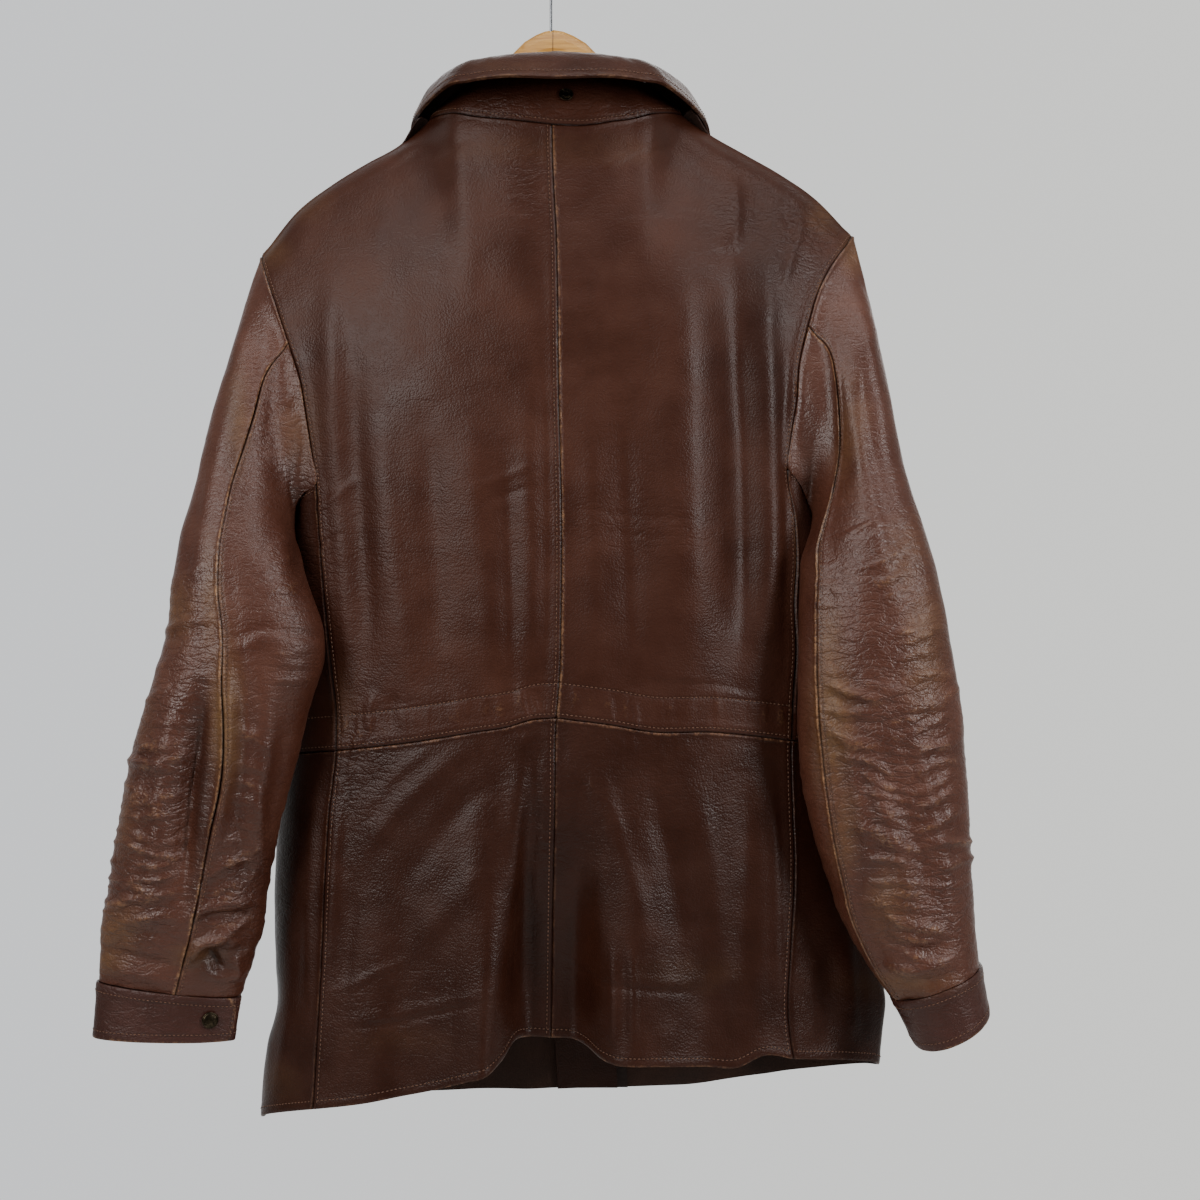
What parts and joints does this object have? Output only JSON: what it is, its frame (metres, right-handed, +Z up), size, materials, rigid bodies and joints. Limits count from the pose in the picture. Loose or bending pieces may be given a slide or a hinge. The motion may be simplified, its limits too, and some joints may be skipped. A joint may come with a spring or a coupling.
{
  "type": "leather jacket on a hanger",
  "caption": "Worn brown leather car coat with turned collar, waist seam and snap cuffs, hanging as a hollow shell from a contoured wooden hanger.",
  "frame": {"origin": "inner top of the hanger's hook, where a rail carries it", "axes": "+Z up, -Y out of the jacket's back, which the picture shows, +Y out of its front, +X to the right as seen from the back (the wearer's right)"},
  "size_m": [0.7207, 0.206, 0.992],
  "materials": {
    "upper_leather": "satin",
    "skirt_leather": "satin",
    "sleeve_leather": "satin",
    "snap_metal": "satin",
    "zip_metal": "satin",
    "pull_metal": "satin",
    "tape_cloth": "matte",
    "hanger_wood": "satin",
    "hook_wire": "satin"
  },
  "bodies": {
    "garment": {"back_lower_left": "skirt_leather", "back_lower_right": "skirt_leather", "back_upper_left": "upper_leather", "back_upper_right": "upper_leather", "collar_fall": "upper_leather", "collar_stand": "upper_leather", "cuff_left": "sleeve_leather", "cuff_right": "sleeve_leather", "cuff_snap_left": "snap_metal", "cuff_snap_right": "snap_metal", "front_lower_left": "skirt_leather", "front_lower_right": "skirt_leather", "front_upper_left": "upper_leather", "front_upper_right": "upper_leather", "hanger": "hanger_wood", "hood_snap": "snap_metal", "hook": "hook_wire", "sleeve_under_left": "sleeve_leather", "sleeve_under_right": "sleeve_leather", "sleeve_upper_left": "sleeve_leather", "sleeve_upper_right": "sleeve_leather", "zip_chain": "zip_metal", "zip_guard": "skirt_leather", "zip_slider": "zip_metal", "zip_tape": "tape_cloth"},
    "zip_pull": {"zip_pull": "pull_metal"}
  },
  "joints": [
    {"name": "zip_pull_swing", "type": "hinge", "parent": "garment", "child": "zip_pull", "pos_m": [0.01308, 0.07555, -0.2665], "axis": [1, 0, 0], "range_deg": [0, 165]}
  ]
}
